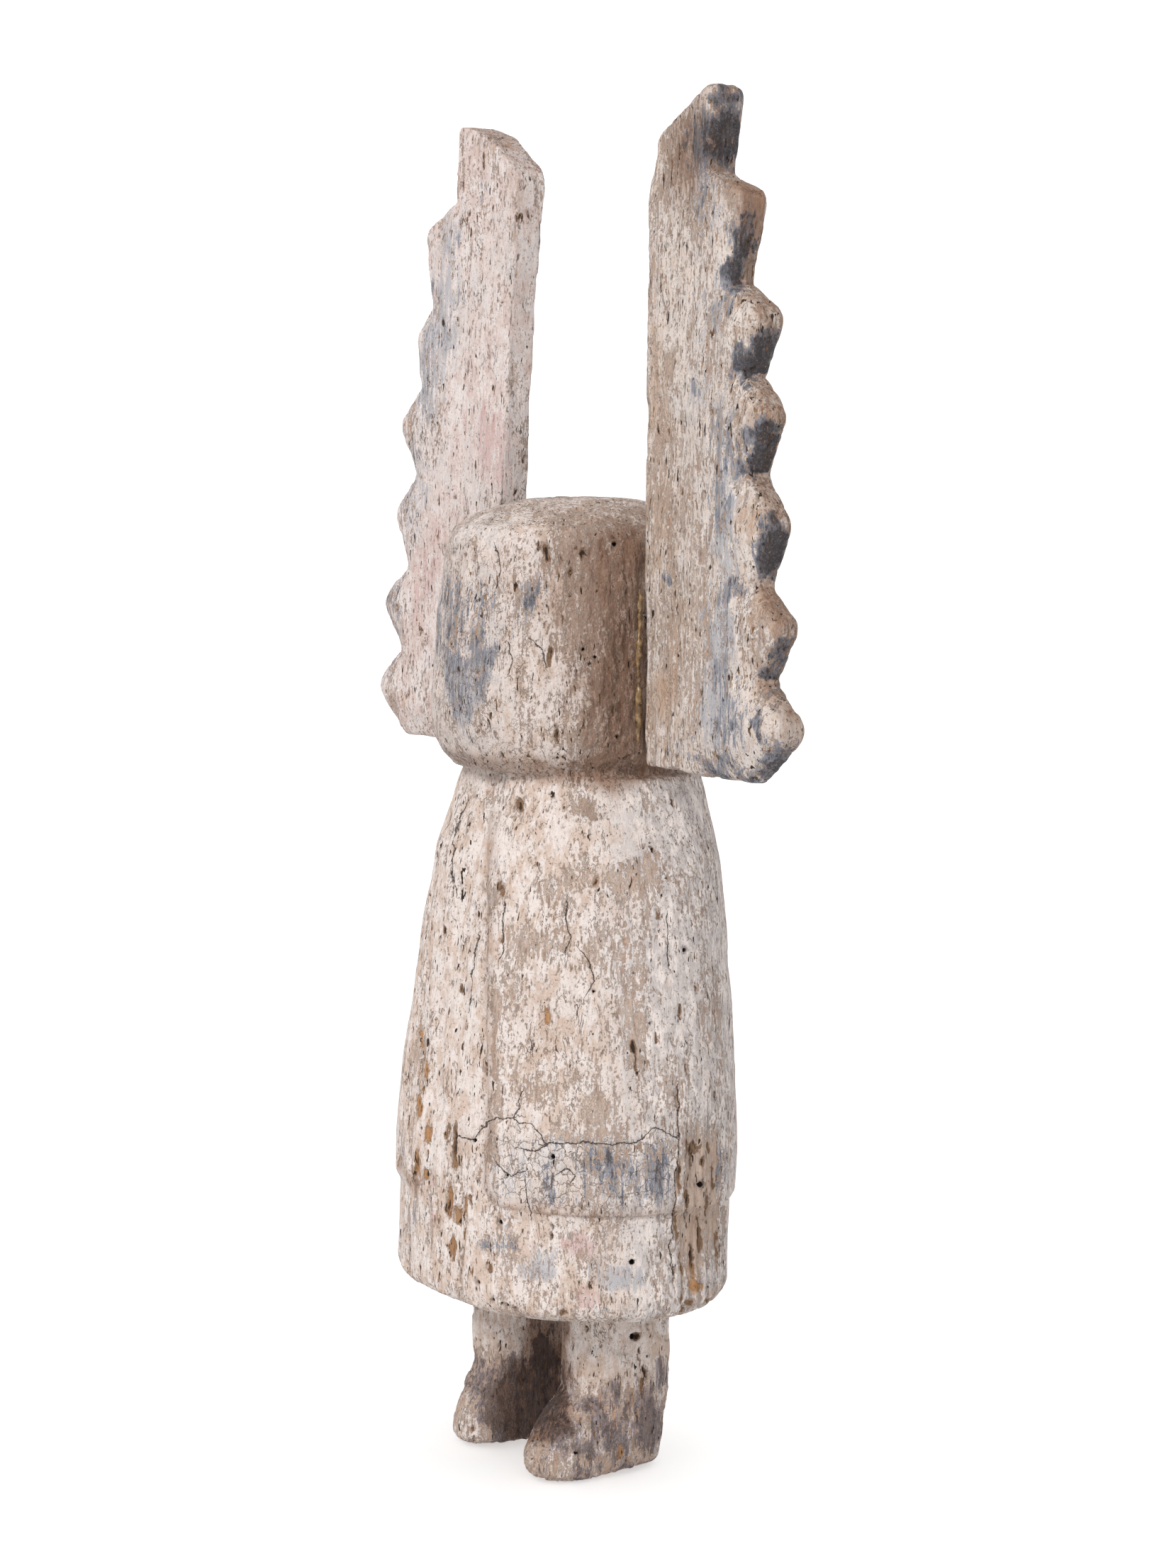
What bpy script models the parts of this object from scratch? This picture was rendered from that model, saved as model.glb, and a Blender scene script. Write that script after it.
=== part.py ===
"""Standing carved figure in root wood: a robed body with a barrel-shaped mask, and two feather-edged boards glued
to the sides of the mask. The figure faces -Y, its left is +X, and its soles stand on z = 0. Metres."""

import math

import bmesh
import bpy
from mathutils import Euler, Matrix, Vector

MM = 0.001

# Heights of the carved block, from the soles up
LEG_HEIGHT = 59.6 * MM
ROBE_HEIGHT = 173.5 * MM
HEAD_HEIGHT = 90 * MM

# Robe: half sizes at the skirt, and how far back the body has leaned where the mask begins
ROBE_HALF_WIDTH = 67.4 * MM
ROBE_HALF_DEPTH = 51.1 * MM
HEM_ROUND = 6 * MM
BODY_LEAN = 8.1 * MM
LEAN_POWER = 1.3

# Share of the robe's height, share of its half width, share of its half depth
ROBE_STATIONS = (
    (0.04, 0.990, 0.990),
    (0.14, 0.980, 0.978),
    (0.28, 0.986, 0.984),
    (0.43, 0.958, 0.956),
    (0.57, 0.917, 0.914),
    (0.71, 0.868, 0.866),
    (0.84, 0.792, 0.817),
    (0.91, 0.727, 0.758),
    (0.96, 0.688, 0.716),
    (1.00, 0.652, 0.680),
)

# Shawl over the robe: its cloth thickness, its lower edge, and where its two front edges hang, right and left
SHAWL_THICKNESS = 1.8 * MM
SHAWL_HEM_HEIGHT = 35.5 * MM
SHAWL_HEM_SLOPE = 3 * MM
SHAWL_CORNER = 7 * MM
OPENING_AT_HEM = (-11.5 * MM, 29.5 * MM)
OPENING_AT_NECK = (1.0 * MM, 10.0 * MM)
OPENING_STEP = math.radians(1.6)

# Mask: half sizes at its widest, and stations as shares of its height and half sizes
HEAD_HALF_WIDTH = 50 * MM
HEAD_HALF_DEPTH = 51 * MM
HEAD_STATIONS = (
    (0.010, 0.830),
    (0.055, 0.910),
    (0.120, 0.968),
    (0.200, 0.992),
    (0.280, 1.000),
    (0.460, 0.970),
    (0.570, 0.954),
    (0.690, 0.921),
    (0.800, 0.897),
    (0.850, 0.878),
    (0.893, 0.825),
    (0.934, 0.700),
    (0.969, 0.535),
    (0.991, 0.355),
    (1.000, 0.120),
)

# Legs and feet, measured forwards and backwards from the middle of the skirt; the right leg stands further forward
LEG_SPACING = 46 * MM
LEG_HALF_WIDTH = 14.5 * MM
LEFT_LEG_FRONT = 11 * MM
LEFT_LEG_BACK = 25.3 * MM
RIGHT_LEG_FRONT = 18.3 * MM
RIGHT_LEG_BACK = 20 * MM
FOOT_FRONT = 27 * MM
FOOT_BACK = 22.5 * MM
TOE_HEIGHT = 7 * MM
INSTEP_HEIGHT = 27 * MM
INSTEP_POWER = 1.3
SOLE_ROUND = 4.5 * MM
LEG_ROOT = 6 * MM
LEG_SQUARENESS = 2.7

# Wings: boards whose inner edge stands on a flat cut on each side of the mask
WING_THICKNESS = 11 * MM
WING_EDGE_ROUND = 2.6 * MM
WING_AHEAD_OF_MIDDLE = 2.0 * MM
WING_RISE = 1.8 * MM
SEAT_DEPTH = 2.5 * MM
GLUE_GAP = 0.3 * MM
WING_LEAN_IN = math.radians(2.5)
WING_LEAN_BACK = math.radians(1.9)
WING_SWEEP = math.radians(3.1)

# The right wing is thicker towards its tip
RIGHT_WING_THICKER_FROM = 150 * MM
RIGHT_WING_THICKER_BY = 2.2 * MM

# Outline of a wing in millimetres, from its inner lower corner: reach outwards, height, corner radius
LEFT_WING_TOP = ((0, 182, 30), (5.5, 201.5, 8), (30, 211.5, 20), (43.5, 212.8, 4.5))
RIGHT_WING_TOP = ((0, 197.5, 9), (20, 210.5, 14), (30, 213.2, 8), (37.5, 213.5, 4.5))
WING_STEP = (36.4, 186.5, 2.5)

# Feather tips from the top down: reach, height and radius of each tip, then of the notch under it
WING_TEETH = (
    (58.3, 178.0, 6.0, 49.0, 151.5, 2.5),
    (67.0, 140.5, 5.5, 55.5, 122.5, 2.5),
    (70.8, 110.0, 5.0, 58.5, 92.5, 2.5),
    (72.0, 77.5, 5.0, 62.0, 59.0, 2.5),
    (77.5, 46.0, 5.0, 64.0, 29.5, 2.5),
)
WING_FOOT = ((82.0, 14.5, 6.5), (60.5, -0.4, 4.0), (0, 1.0, 3.0))
RIGHT_SECOND_TOOTH_WORN = 6.5

# Glue that has squeezed out in front of each wing's inner edge
BEAD_RADIUS = 1.3 * MM
BEAD_FOOT = 9 * MM
BEAD_LENGTH = 52 * MM
BEAD_SIDES = 8
BEAD_RINGS = 12
BEAD_END_SHARE = 0.35

# Fineness of the facets
COLUMNS_OUTSIDE = 44
COLUMNS_AT_CORNER = 3
COLUMNS_IN_OPENING = 4
ARC_STEPS = 4
LEG_COLUMNS = 28
CUTTER_MARGIN = 20 * MM

NECK_HEIGHT = LEG_HEIGHT + ROBE_HEIGHT

# The origin is midway between the front of the skirt and the back of the mask
SKIRT_MIDDLE = (ROBE_HALF_DEPTH - BODY_LEAN - HEAD_HALF_DEPTH) / 2


def clear_scene():
    for obj in list(bpy.data.objects):
        bpy.data.objects.remove(obj)


def material(name, colour, roughness):
    made = bpy.data.materials.new(name)
    made.use_nodes = True
    shader = made.node_tree.nodes["Principled BSDF"]
    shader.inputs["Base Color"].default_value = (*colour, 1)
    shader.inputs["Roughness"].default_value = roughness
    shader.inputs["Metallic"].default_value = 0
    return made


def object_from(name, bm, look=None):
    mesh = bpy.data.meshes.new(name)
    bm.to_mesh(mesh)
    bm.free()
    made = bpy.data.objects.new(name, mesh)
    bpy.context.scene.collection.objects.link(made)
    if look:
        mesh.materials.append(look)
    return made


def shade(obj, angle=35):
    obj.data.shade_smooth()
    obj.data.set_sharp_from_angle(angle=math.radians(angle))


def make_guide(obj):
    obj.hide_render = True
    obj.display_type = "WIRE"


def boolean(obj, other, operation):
    cut = obj.modifiers.new(other.name, "BOOLEAN")
    cut.operation = operation
    cut.object = other
    cut.solver = "EXACT"


def loft(rings):
    """A closed mesh through rings of points, each counter-clockwise from above, from the lowest ring to the highest."""
    bm = bmesh.new()
    rows = [[bm.verts.new(p) for p in ring] for ring in rings]
    count = len(rings[0])
    for low, high in zip(rows, rows[1:]):
        for i in range(count):
            j = (i + 1) % count
            bm.faces.new((low[i], low[j], high[j], high[i]))
    bm.faces.new(list(reversed(rows[0])))
    bm.faces.new(rows[-1])
    return bm


def middle_at(height):
    """Where the middle of the body stands, front to back: the robe leans back and the mask stands straight on it."""
    share = min(1.0, max(0.0, (height - LEG_HEIGHT) / ROBE_HEIGHT))
    return SKIRT_MIDDLE + BODY_LEAN * share**LEAN_POWER


def opening_at(height, half_width):
    """Azimuths of the shawl's right and left front edges, which hang straight from the neck to the hem."""
    hem = LEG_HEIGHT + SHAWL_HEM_HEIGHT
    share = min(1.0, max(0.0, (height - hem) / (NECK_HEIGHT - hem)))
    edges = []
    for low, high in zip(OPENING_AT_HEM, OPENING_AT_NECK):
        edges.append(math.asin((low + (high - low) * share) / half_width))
    return edges


def spread(start, end, steps):
    return [start + (end - start) * i / steps for i in range(steps + 1)]


def columns(right, left):
    """Azimuths round the body and whether the shawl covers each, close together at its two front edges."""
    corner = SHAWL_CORNER / ROBE_HALF_DEPTH
    again = right + 2 * math.pi
    bare = spread(right + OPENING_STEP, left - OPENING_STEP, COLUMNS_IN_OPENING)
    clad = spread(left, left + corner, COLUMNS_AT_CORNER)
    clad += spread(left + corner, again - corner, COLUMNS_OUTSIDE)[1:-1]
    clad += spread(again - corner, again, COLUMNS_AT_CORNER)
    return [(azimuth, 0) for azimuth in bare] + [(azimuth, 1) for azimuth in clad]


def corner_lift(along):
    """How far the shawl's lower edge has risen at a distance from its front edge, to round the corner."""
    if along > SHAWL_CORNER:
        return 0.0
    return SHAWL_CORNER - math.sqrt(SHAWL_CORNER**2 - (SHAWL_CORNER - along) ** 2)


def body_ring(height, half_width, half_depth, edges, cloth=0.0, follows_hem=False):
    """One ring of the robe or mask. Cloth stands out where the shawl covers; a ring at the hem follows its edge."""
    right, left = edges
    ring = []
    for azimuth, covered in columns(right, left):
        lift = 0.0
        if follows_hem:
            past_edge = min(azimuth - left, right + 2 * math.pi - azimuth)
            lift = corner_lift(max(0.0, past_edge) * ROBE_HALF_DEPTH)
        x = (half_width + cloth * covered) * math.sin(azimuth)
        y = middle_at(height) - (half_depth + cloth * covered) * math.cos(azimuth)
        ring.append(Vector((x, y, height + lift)))
    return ring


def robe_shares(share):
    """Half width and half depth shares at a share of the robe's height, on straight runs between its stations."""
    if share <= ROBE_STATIONS[0][0]:
        return ROBE_STATIONS[0][1:]
    for (low, w0, d0), (high, w1, d1) in zip(ROBE_STATIONS, ROBE_STATIONS[1:]):
        if share <= high:
            t = (share - low) / (high - low)
            return w0 + (w1 - w0) * t, d0 + (d1 - d0) * t
    return ROBE_STATIONS[-1][1:]


def robe_ring(height, cloth=0.0, follows_hem=False, inset=0.0):
    wide, deep = robe_shares((height - LEG_HEIGHT) / ROBE_HEIGHT)
    half_width = ROBE_HALF_WIDTH * wide - inset
    half_depth = ROBE_HALF_DEPTH * deep - inset
    return body_ring(height, half_width, half_depth, opening_at(height, half_width), cloth, follows_hem)


def body_rings():
    """The robe from its underside, the shawl above its hem, and the mask up to the crown."""
    rings = []
    for i in range(ARC_STEPS + 1):
        turn = math.pi / 2 * i / ARC_STEPS
        height = LEG_HEIGHT + HEM_ROUND * (1 - math.cos(turn))
        rings.append(robe_ring(height, inset=HEM_ROUND * (1 - math.sin(turn))))
    hem = LEG_HEIGHT + SHAWL_HEM_HEIGHT
    rings.append(robe_ring((LEG_HEIGHT + HEM_ROUND + hem - SHAWL_HEM_SLOPE) / 2))
    rings.append(robe_ring(hem - SHAWL_HEM_SLOPE, 0.0, True))
    rings.append(robe_ring(hem, SHAWL_THICKNESS, True))
    above = hem + SHAWL_CORNER + SHAWL_HEM_SLOPE
    for share, _, _ in ROBE_STATIONS:
        height = LEG_HEIGHT + ROBE_HEIGHT * share
        if height > above:
            rings.append(robe_ring(height, SHAWL_THICKNESS))
    edges = opening_at(NECK_HEIGHT, ROBE_HALF_WIDTH * ROBE_STATIONS[-1][1])
    for up, size in HEAD_STATIONS:
        height = NECK_HEIGHT + HEAD_HEIGHT * up
        rings.append(body_ring(height, HEAD_HALF_WIDTH * size, HEAD_HALF_DEPTH * size, edges))
    return rings


def leg_ring(middle, height, front, back, inset=0.0):
    """A rounded-rectangle ring of a leg or foot that reaches forwards and backwards from the skirt's middle."""
    ring = []
    for i in range(LEG_COLUMNS):
        turn = 2 * math.pi * i / LEG_COLUMNS
        c, s = math.cos(turn), math.sin(turn)
        squared = (abs(c) ** LEG_SQUARENESS + abs(s) ** LEG_SQUARENESS) ** (-1 / LEG_SQUARENESS)
        x = middle + (LEG_HALF_WIDTH - inset) * squared * c
        y = SKIRT_MIDDLE + (back - front) / 2 + ((front + back) / 2 - inset) * squared * s
        ring.append(Vector((x, y, height)))
    return ring


def leg_guide(name, side, leg_front, leg_back):
    """One leg with its foot, carried up into the robe so that the two become one block."""
    middle = side * LEG_SPACING / 2
    rings = []
    for i in range(ARC_STEPS + 1):
        turn = math.pi / 2 * i / ARC_STEPS
        height = SOLE_ROUND * (1 - math.cos(turn))
        rings.append(leg_ring(middle, height, FOOT_FRONT, FOOT_BACK, SOLE_ROUND * (1 - math.sin(turn))))
    for i in range(ARC_STEPS + 2):
        share = i / (ARC_STEPS + 1)
        height = TOE_HEIGHT + (INSTEP_HEIGHT - TOE_HEIGHT) * share
        front = FOOT_FRONT + (leg_front - FOOT_FRONT) * share**INSTEP_POWER
        back = FOOT_BACK + (leg_back - FOOT_BACK) * share
        rings.append(leg_ring(middle, height, front, back))
    top = LEG_HEIGHT + LEG_ROOT
    rings.append(leg_ring(middle, (INSTEP_HEIGHT + top) / 2, leg_front, leg_back))
    rings.append(leg_ring(middle, top, leg_front, leg_back))
    guide = object_from(name, loft(rings))
    make_guide(guide)
    return guide


def wing_frame(side):
    """Where a wing stands: the foot of its seat on the mask, leaning in and back and swept a little forward."""
    beside = side * (HEAD_HALF_WIDTH - SEAT_DEPTH)
    foot = Vector((beside, middle_at(NECK_HEIGHT) - WING_AHEAD_OF_MIDDLE, NECK_HEIGHT + WING_RISE))
    turn = Euler((-WING_LEAN_BACK, -side * WING_LEAN_IN, -side * WING_SWEEP))
    return Matrix.Translation(foot) @ turn.to_matrix().to_4x4()


def seat_cutter(name, side):
    """The block that pares each side of the mask flat, one glue line away from the wing's inner edge."""
    depth = HEAD_HALF_DEPTH + CUTTER_MARGIN
    low = -WING_RISE + GLUE_GAP
    high = HEAD_HEIGHT + CUTTER_MARGIN
    bm = bmesh.new()
    bmesh.ops.create_cube(bm, size=1)
    bmesh.ops.scale(bm, vec=(CUTTER_MARGIN, 2 * depth, high - low), verts=bm.verts)
    move = Vector((side * (CUTTER_MARGIN / 2 - GLUE_GAP), 0, (low + high) / 2))
    bmesh.ops.translate(bm, vec=move, verts=bm.verts)
    guide = object_from(name, bm)
    guide.matrix_world = wing_frame(side)
    make_guide(guide)
    return guide


def rounded_outline(corners):
    """Points of a closed outline whose corners, each (x, y, radius), are replaced by arcs."""
    points = []
    count = len(corners)
    for i, (x, y, radius) in enumerate(corners):
        here = Vector((x, y))
        back = Vector(corners[i - 1][:2]) - here
        on = Vector(corners[(i + 1) % count][:2]) - here
        half = back.angle(on) / 2
        run = min(radius / math.tan(half), 0.45 * back.length, 0.45 * on.length)
        start = here + back.normalized() * run
        end = here + on.normalized() * run
        for k in range(ARC_STEPS + 1):
            t = k / ARC_STEPS
            points.append(start * (1 - t) ** 2 + here * 2 * t * (1 - t) + end * t**2)
    return points


def wing_corners(side):
    """The outline, from the inner upper corner round the feather tips to the inner lower corner, in millimetres."""
    top = LEFT_WING_TOP if side > 0 else RIGHT_WING_TOP
    corners = [*top, WING_STEP]
    for number, (reach, height, tip, notch, low, root) in enumerate(WING_TEETH, 1):
        worn = RIGHT_SECOND_TOOTH_WORN if side < 0 and number == 2 else 0
        corners.append((reach - worn, height, tip))
        corners.append((notch, low, root))
    corners += WING_FOOT
    return corners


def thicken_top(bm):
    """Bend the back of the right wing out above a line, so that its tip is the thickest."""
    everything = bm.verts[:] + bm.edges[:] + bm.faces[:]
    line = (0, 0, RIGHT_WING_THICKER_FROM)
    bmesh.ops.bisect_plane(bm, geom=everything, plane_co=line, plane_no=(0, 0, 1))
    rise = max(v.co.z for v in bm.verts) - RIGHT_WING_THICKER_FROM
    for v in bm.verts:
        if v.co.y > 0 and v.co.z > RIGHT_WING_THICKER_FROM:
            v.co.y += RIGHT_WING_THICKER_BY * (v.co.z - RIGHT_WING_THICKER_FROM) / rise


def wing(name, side, look):
    outline = rounded_outline(wing_corners(side))
    if side > 0:
        outline.reverse()
    bm = bmesh.new()
    half = WING_THICKNESS / 2
    front = [bm.verts.new((side * p.x * MM, -half, p.y * MM)) for p in outline]
    face = bm.faces.new(front)
    pushed = bmesh.ops.extrude_face_region(bm, geom=[face])
    moved = [v for v in pushed["geom"] if isinstance(v, bmesh.types.BMVert)]
    bmesh.ops.translate(bm, vec=(0, WING_THICKNESS, 0), verts=moved)
    if side < 0:
        thicken_top(bm)
    bmesh.ops.recalc_face_normals(bm, faces=bm.faces)
    made = object_from(name, bm, look)
    made.matrix_world = wing_frame(side)
    soften = made.modifiers.new("worn edges", "BEVEL")
    soften.width = WING_EDGE_ROUND
    soften.segments = 3
    soften.limit_method = "ANGLE"
    soften.angle_limit = math.radians(60)
    shade(made)
    return made


def glue_bead(name, side, look):
    """A bead of set glue in the corner between the mask and the front of a wing's inner edge."""
    round_out = WING_EDGE_ROUND + GLUE_GAP + BEAD_RADIUS
    ahead = math.sqrt(round_out**2 - (WING_EDGE_ROUND - BEAD_RADIUS) ** 2)
    y = -WING_THICKNESS / 2 + WING_EDGE_ROUND - ahead
    rings = []
    for i in range(BEAD_RINGS + 1):
        t = i / BEAD_RINGS
        thick = BEAD_RADIUS * max(BEAD_END_SHARE, math.sqrt(1 - (2 * t - 1) ** 6))
        height = BEAD_FOOT + BEAD_LENGTH * t
        ring = []
        for k in range(BEAD_SIDES):
            turn = 2 * math.pi * k / BEAD_SIDES
            ring.append(Vector((side * BEAD_RADIUS + thick * math.cos(turn), y + thick * math.sin(turn), height)))
        rings.append(ring)
    made = object_from(name, loft(rings), look)
    made.matrix_world = wing_frame(side)
    shade(made)
    return made


def carved_figure(look):
    figure = object_from("figure", loft(body_rings()), look)
    boolean(figure, leg_guide("left_leg_guide", 1, LEFT_LEG_FRONT, LEFT_LEG_BACK), "UNION")
    boolean(figure, leg_guide("right_leg_guide", -1, RIGHT_LEG_FRONT, RIGHT_LEG_BACK), "UNION")
    for name, side in (("left", 1), ("right", -1)):
        boolean(figure, seat_cutter(f"{name}_seat_cutter", side), "DIFFERENCE")
    shade(figure)
    return figure


def main():
    clear_scene()
    wood = material("weathered_wood", (0.62, 0.53, 0.46), 0.9)
    glue = material("amber_glue", (0.55, 0.38, 0.12), 0.3)
    carved_figure(wood)
    for name, side in (("left", 1), ("right", -1)):
        wing(f"{name}_wing", side, wood)
        glue_bead(f"{name}_glue_bead", side, glue)


main()
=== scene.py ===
"""Weathered painted figure in root wood: carved relief, flaked paint, glue, floor, light and camera.

Pixel positions are those of a view of 1659 x 2212 pixels through the camera made here. They place marks on
the faces that the camera sees; the other faces get the same kinds of wear from the noise."""

import math
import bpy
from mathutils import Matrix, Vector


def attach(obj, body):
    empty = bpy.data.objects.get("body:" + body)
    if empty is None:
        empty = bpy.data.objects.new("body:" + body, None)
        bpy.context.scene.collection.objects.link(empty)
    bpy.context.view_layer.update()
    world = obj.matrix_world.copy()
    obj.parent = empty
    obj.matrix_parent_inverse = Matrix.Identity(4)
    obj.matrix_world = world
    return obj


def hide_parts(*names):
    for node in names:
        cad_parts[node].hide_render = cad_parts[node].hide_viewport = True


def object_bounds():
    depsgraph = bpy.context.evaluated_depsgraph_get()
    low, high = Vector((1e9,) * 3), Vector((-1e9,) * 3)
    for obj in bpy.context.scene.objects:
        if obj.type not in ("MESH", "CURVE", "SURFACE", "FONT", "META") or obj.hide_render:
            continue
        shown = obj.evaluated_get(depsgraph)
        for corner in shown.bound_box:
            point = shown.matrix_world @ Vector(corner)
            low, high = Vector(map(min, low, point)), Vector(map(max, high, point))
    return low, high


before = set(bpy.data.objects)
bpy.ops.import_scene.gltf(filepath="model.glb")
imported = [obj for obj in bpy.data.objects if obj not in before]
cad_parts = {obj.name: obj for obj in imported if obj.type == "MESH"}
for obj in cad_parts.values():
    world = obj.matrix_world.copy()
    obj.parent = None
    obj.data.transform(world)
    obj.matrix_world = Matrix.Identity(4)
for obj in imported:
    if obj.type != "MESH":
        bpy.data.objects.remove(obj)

from types import SimpleNamespace

import bmesh
import bpy
import numpy as np
from mathutils import Matrix, Vector
from mathutils.kdtree import KDTree

CAD_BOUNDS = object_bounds()

# The camera, in millimetres, radians and pixels of the whole view
EYE = np.array((896.8, -564.4, 331.9))
AZIMUTH = math.radians(58)
PITCH = math.radians(5.6476)
YAW = math.radians(0.503)
FOCAL_PX = 4500
WIDTH_PX = 1659
HEIGHT_PX = 2212
MM_PER_PX = 0.235  # where the figure stands

# Places on the solids, in millimetres. A pair is a range over which something comes in.
HEM = 62
NECK = 236
BOOT_TOP = 33
LOW_BOOT = (38, 26)
TOE_Y = (-20, -29)
WORN_HEM = (68, 60)
WORN_CROWN = (310, 318)
RUSTY_CROWN = (304, 316)
BELOW_CROWN = (314, 304)
FEATHERS_FROM = 66  # either way from the middle, where a wing's board becomes feather tips

# Metres between the points of the fine copies
CELL = 0.0008
WING_CELL = 0.0006
GLUE_CELL = 0.0004

FIGURE_TRIANGLES = 190000
WING_TRIANGLES = 140000
BOX_MARGIN = 0.1  # millimetres that the relief keeps from the box round the solids
GROUND_EDGE = (0.46, 0.54)  # bare wood where the ground is below the first, whole ground above the second

# Floor, light and the camera's sensor
FLOOR_HALF = 6.0  # metres
FLOOR_GLOW = 0.46
WORLD_ON_FIGURE = 0.80
WORLD_IN_VIEW = 1.2
SUN_COLOUR = (1.0, 0.985, 0.97)
SENSOR = 36  # millimetres


# Camera axes and the view's pixels


def camera_axes():
    """The camera's right, up and forward directions."""
    flat = np.array((-math.sin(AZIMUTH), math.cos(AZIMUTH), 0.0))
    side = np.array((math.cos(AZIMUTH), math.sin(AZIMUTH), 0.0))
    up = np.array((0.0, 0.0, 1.0))
    ahead = flat * math.cos(YAW) + side * math.sin(YAW)
    right = side * math.cos(YAW) - flat * math.sin(YAW)
    forward = ahead * math.cos(PITCH) - up * math.sin(PITCH)
    return right, np.cross(right, forward), forward


RIGHT, UP, FORWARD = camera_axes()


def pixels(p):
    """Where points in millimetres fall in the view."""
    d = p - EYE
    away = d @ FORWARD
    across = WIDTH_PX / 2 + FOCAL_PX * (d @ RIGHT) / away
    down = HEIGHT_PX / 2 - FOCAL_PX * (d @ UP) / away
    return np.stack((across, down), axis=1)


def facing(p, n):
    """1 on faces turned to the camera, 0 on faces turned away, soft between."""
    d = EYE - p
    d /= np.linalg.norm(d, axis=1, keepdims=True)
    return smooth((d * n).sum(axis=1), 0.0, 0.16)


# Noise and shapes on arrays of points


def smooth(x, low, high):
    """0 at low, 1 at high and beyond, with no corners between. Low may be the larger."""
    t = np.clip((x - low) / (high - low), 0, 1)
    return t * t * (3 - 2 * t)


def ridge(x, middle, width):
    """A bell with height 1."""
    return np.exp(-(((x - middle) / width) ** 2))


def lattice(cells, seed):
    """A repeatable value from 0 to 1 for each whole-numbered cell."""
    c = cells.astype(np.int64)
    h = (c[:, 0] * 73856093) ^ (c[:, 1] * 19349663) ^ (c[:, 2] * 83492791) ^ (seed * 2654435761)
    h &= 0xFFFFFFFF
    for _ in range(2):
        h = ((h ^ (h >> 16)) * 0x45D9F3B) & 0xFFFFFFFF
    return (h ^ (h >> 16)) / 0xFFFFFFFF


def noise(p, size, seed):
    """Smooth noise from 0 to 1. Size is the width of its lumps, one number or one for each axis."""
    q = p / size
    base = np.floor(q)
    f = q - base
    f = f * f * (3 - 2 * f)
    total = np.zeros(len(p))
    for corner in np.ndindex(2, 2, 2):
        share = np.prod(np.where(corner, f, 1 - f), axis=1)
        total += share * lattice(base + corner, seed)
    return total


def rough(p, size, seed, layers=3):
    """Layers of noise, each half as wide as the one before and weaker, from about 0 to 1."""
    total = np.zeros(len(p))
    weight = 0.0
    for i in range(layers):
        share = 0.55**i
        total += share * noise(p, np.asarray(size) / 2**i, seed + 31 * i)
        weight += share
    return total / weight


def shifted(uv, p, size, seeds, reach):
    """Pixel positions moved about unevenly, so that marks get torn outlines."""
    return uv + np.stack([rough(p, size, seed) - 0.5 for seed in seeds], axis=1) * reach


def pits(p, size, long, radius, seed, chance):
    """Scattered hollows, 1 in the middle and 0 at the edge, each longer than wide along the grain."""
    stretch = np.array((size, size, size * long))
    q = p / stretch
    base = np.floor(q - 0.5)
    depth = np.zeros(len(p))
    for corner in np.ndindex(2, 2, 2):
        cell = base + corner
        centre = cell + 0.5 + 0.3 * np.stack([lattice(cell, seed + k) - 0.5 for k in (1, 2, 3)], axis=1)
        reach = radius / size * (0.45 + 0.55 * lattice(cell, seed + 4))
        near = 1 - np.linalg.norm(q - centre, axis=1) / reach
        depth = np.maximum(depth, np.where(lattice(cell, seed) < chance, near, 0))
    return np.clip(depth, 0, 1)


def to_segment(uv, a, b):
    """Distance to a segment and the side of it on which each point lies."""
    a, b = np.array(a, float), np.array(b, float)
    run = b - a
    from_a = uv - a
    t = np.clip(from_a @ run / (run @ run), 0, 1)
    away = np.linalg.norm(from_a - t[:, None] * run, axis=1)
    return away, np.where(run[0] * from_a[:, 1] - run[1] * from_a[:, 0] > 0, 1.0, -1.0)


def area(uv, corners, soft):
    """1 inside a closed outline of pixel positions, 0 outside, with a soft edge."""
    x, y = uv[:, 0], uv[:, 1]
    inside = np.zeros(len(uv), bool)
    nearest = np.full(len(uv), 1e9)
    for a, b in zip(corners, [*corners[1:], corners[0]]):
        if a[1] != b[1]:
            across = a[0] + (y - a[1]) * (b[0] - a[0]) / (b[1] - a[1])
            inside ^= ((a[1] > y) != (b[1] > y)) & (x < across)
        nearest = np.minimum(nearest, to_segment(uv, a, b)[0])
    return smooth(np.where(inside, nearest, -nearest), -soft, soft)


def spots(uv, marks):
    """Soft round or oval marks: each is (x, y, half width, half height, strength)."""
    total = np.zeros(len(uv))
    for x, y, wide, high, strength in marks:
        away = ((uv[:, 0] - x) / wide) ** 2 + ((uv[:, 1] - y) / high) ** 2
        total += strength * np.exp(-(away**1.5))
    return total


def lines(uv, runs):
    """Distance in pixels to the nearest of some broken lines, with a sign for the side."""
    best = np.full(len(uv), 1e9)
    side = np.ones(len(uv))
    for run in runs:
        for a, b in zip(run, run[1:]):
            away, turn = to_segment(uv, a, b)
            closer = away < best
            best = np.where(closer, away, best)
            side = np.where(closer, turn, side)
    return best * side


# Marks in the view's pixels. Spots are (x, y, half width, half height, strength).

HOLES = (
    (666, 1609, 4), (779, 1632, 4), (713, 1659, 3), (705, 1724, 4), (674, 1809, 4), (695, 1834, 3.5),
    (716, 1842, 3), (994, 1672, 5), (892, 1781, 5), (971, 1716, 3), (895, 1887, 5), (814, 2051, 3),
    (823, 915, 3), (840, 927, 3), (875, 1040, 3), (837, 1399, 3), (868, 766, 4), (968, 1340, 4),
)

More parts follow.
